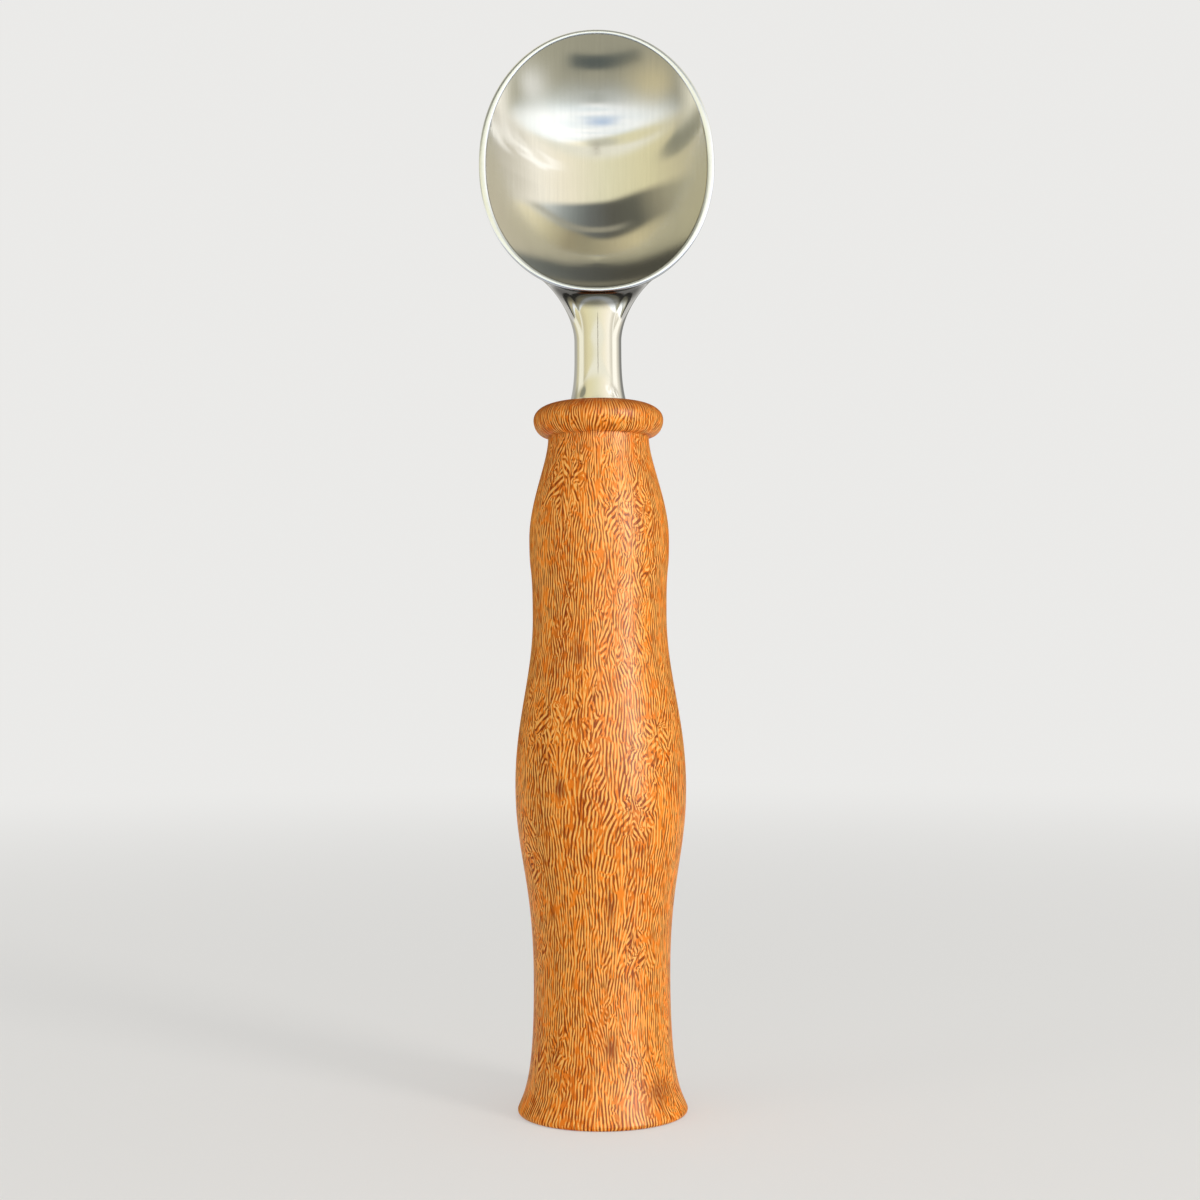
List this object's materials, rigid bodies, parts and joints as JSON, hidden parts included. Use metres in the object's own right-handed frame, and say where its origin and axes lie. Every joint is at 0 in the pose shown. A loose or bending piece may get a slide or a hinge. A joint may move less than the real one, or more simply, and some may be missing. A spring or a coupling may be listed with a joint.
{
  "type": "ice cream scoop",
  "caption": "Ice cream scoop: a round-ended steel bowl on a slim neck, which unscrews from a turned wooden handle with a bead and a flared flat base.",
  "frame": {"origin": "centre of the handle's flat base, on the handle's axis", "axes": "+Z along the handle's axis towards the bowl's tip, -Y out of the bowl's mouth, +X to the right when looking into the bowl"},
  "size_m": [0.0508, 0.0376, 0.2351],
  "materials": {
    "wood": "figured amber hardwood under a satin lacquer",
    "brass": "machined",
    "stud_steel": "rolled thread",
    "head_steel": "satin brushed bowl with a polished rim and neck"
  },
  "bodies": {
    "handle": {"handle": "wood", "threaded_insert": "brass"},
    "stud": {"threaded_stud": "stud_steel"},
    "head": {"scoop_head": "head_steel"}
  },
  "joints": [
    {"name": "stud_travel", "type": "slide", "parent": "handle", "child": "stud", "axis": [0, 0, 1], "range_m": [0, 0.016]},
    {"name": "head_unscrew", "type": "hinge", "parent": "stud", "child": "head", "pos_m": [0, 0, 0.1558], "axis": [0, 0, 1], "range_deg": [0, 5760]}
  ],
  "couplings": [
    {"joint": "stud_travel", "follows": "head_unscrew", "m_per_rad": 0.00015915}
  ]
}
